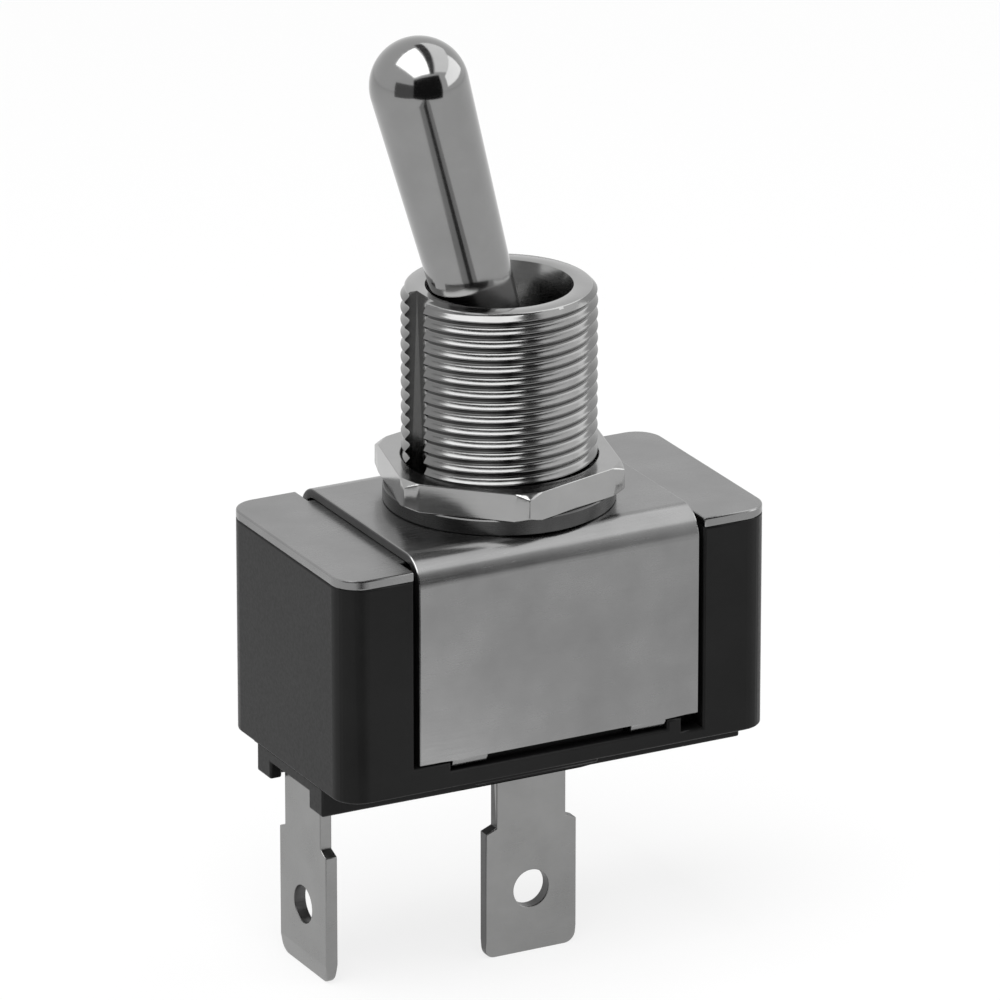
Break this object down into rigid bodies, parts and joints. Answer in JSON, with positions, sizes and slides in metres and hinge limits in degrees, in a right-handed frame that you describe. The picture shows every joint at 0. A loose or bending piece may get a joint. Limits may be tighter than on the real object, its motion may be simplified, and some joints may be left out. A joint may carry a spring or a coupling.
{
  "type": "panel toggle switch",
  "caption": "Heavy-duty bat-handle toggle switch with a threaded bushing and hex nut, a steel-framed black base and flat push-on terminals.",
  "frame": {"origin": "on the bushing's axis, in the top face of the hex nut as it lies on the collar, where the back of a panel bears", "axes": "+Z along the bushing towards the lever, X along the base's long side with the end terminal at -X, -Y towards the front skirt whose side the common terminal is on"},
  "size_m": [0.0292, 0.0158, 0.0583],
  "materials": {
    "phenolic": "black moulded phenolic, semi-matt",
    "plated_steel": "nickel-plated rolled steel, satin",
    "nickel": "nickel plating over machined metal",
    "bright_nickel": "bright nickel plating, polished",
    "bare_steel": "bare steel",
    "fibre": "dark vulcanised fibre",
    "nylon": "natural nylon",
    "contact_brass": "bare brass",
    "silver": "silver contact alloy",
    "tinned_brass": "tin-plated brass, satin"
  },
  "bodies": {
    "base": {"base_housing": "phenolic", "cover_plate": "plated_steel", "insulating_sheet": "fibre", "mounting_frame": "plated_steel", "threaded_bushing": "nickel", "rocker_bracket": "contact_brass", "bracket_rivet": "contact_brass", "common_terminal": "tinned_brass", "end_terminal": "tinned_brass", "fixed_contact": "silver"},
    "lever": {"toggle_lever": "bright_nickel", "pivot_pin": "bare_steel", "lever_spring": "bare_steel"},
    "plunger": {"plunger": "nylon"},
    "rocker": {"contact_rocker": "contact_brass", "moving_contact": "silver"},
    "nut": {"hex_nut": "nickel"}
  },
  "joints": [
    {"name": "lever_tilt", "type": "hinge", "parent": "base", "child": "lever", "pos_m": [0, 0, 0.0043], "axis": [0, 1, 0], "range_deg": [0, 30.4]},
    {"name": "plunger_slide", "type": "slide", "parent": "lever", "child": "plunger", "axis": [-0.2622, 0, 0.965], "range_m": [0, 0.0008], "stiffness_N_per_m": 400, "springref_m": -0.001, "deforming": ["lever_spring"]},
    {"name": "rocker_tilt", "type": "hinge", "parent": "base", "child": "rocker", "pos_m": [0, 0, -0.0122], "axis": [0, 1, 0], "range_deg": [-16.01, 0]},
    {"name": "nut_travel", "type": "slide", "parent": "base", "child": "nut", "axis": [0, 0, 1], "range_m": [0, 0.0086]}
  ],
  "couplings": [
    {"joint": "rocker_tilt", "follows": "lever_tilt", "ratio": -0.52632}
  ]
}
